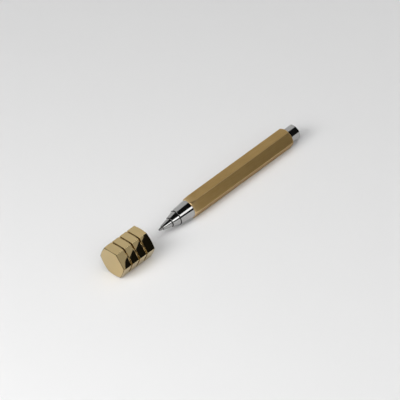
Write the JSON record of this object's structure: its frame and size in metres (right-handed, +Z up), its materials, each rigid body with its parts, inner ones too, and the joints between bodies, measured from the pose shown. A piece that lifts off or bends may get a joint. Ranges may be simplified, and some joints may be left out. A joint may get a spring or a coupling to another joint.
{
  "type": "ballpoint pen",
  "caption": "Hexagonal brass ballpoint pen with a stepped chrome nose, a push button that slides the refill in and out, and a grooved hexagonal pull-off cap that doubles as a stand.",
  "frame": {"origin": "middle of the barrel's lower flat, on the surface that the pen lies on", "axes": "+X along the pen from the writing tip to the push button, +Z up, away from the surface that the pen and its cap lie on"},
  "size_m": [0.143, 0.02, 0.0174],
  "materials": {
    "satin_brass": "brushed along the barrel, darkened with use",
    "polished_brass": "polished",
    "bright_chrome": "polished chrome plate",
    "housing_brass": "plain turned",
    "spring_steel": "drawn wire",
    "refill_steel": "drawn tube",
    "point_metal": "turned nickel silver",
    "ball_carbide": "ground",
    "ink": "thick black paste",
    "cam_plastic": "moulded acetal",
    "carrier_plastic": "moulded",
    "seal_rubber": "moulded"
  },
  "bodies": {
    "pen_body": {"barrel": "satin_brass", "nose_cone": "bright_chrome", "nose_sleeve": "bright_chrome", "nozzle": "bright_chrome", "nose_seal_ring": "seal_rubber", "refill_guide_bush": "cam_plastic", "mechanism_housing": "housing_brass", "cam_guide": "cam_plastic", "return_spring": "spring_steel"},
    "refill_unit": {"refill_tube": "refill_steel", "refill_point": "point_metal", "ink_column": "ink", "refill_tail_plug": "cam_plastic", "refill_carrier": "carrier_plastic"},
    "ball_unit": {"writing_ball": "ball_carbide"},
    "rotor_unit": {"rotor_cam": "cam_plastic"},
    "button_unit": {"push_button": "bright_chrome", "button_collar": "spring_steel", "thrust_cam": "cam_plastic"},
    "cap_unit": {"cap": "polished_brass"}
  },
  "joints": [
    {"name": "button_press", "type": "slide", "parent": "pen_body", "child": "button_unit", "axis": [-1, 0, 0], "range_m": [-0.005, 0.0012], "stiffness_N_per_m": 300},
    {"name": "refill_slide", "type": "slide", "parent": "pen_body", "child": "refill_unit", "axis": [-1, 0, 0], "range_m": [-0.005, 0.0012], "deforming": ["return_spring"]},
    {"name": "rotor_turn", "type": "hinge", "parent": "refill_unit", "child": "rotor_unit", "pos_m": [0.01, 0, 0.0055], "axis": [1, 0, 0], "continuous": true},
    {"name": "ball_roll", "type": "hinge", "parent": "refill_unit", "child": "ball_unit", "pos_m": [-0.0605, 0, 0.0055], "axis": [0, 1, 0], "continuous": true},
    {"name": "cap_slide", "type": "slide", "parent": "pen_body", "child": "cap_unit", "axis": [0.9927, 0.0706, -0.0982], "range_m": [0, 0.0326]}
  ],
  "couplings": [
    {"joint": "refill_slide", "follows": "button_press", "ratio": 1}
  ]
}
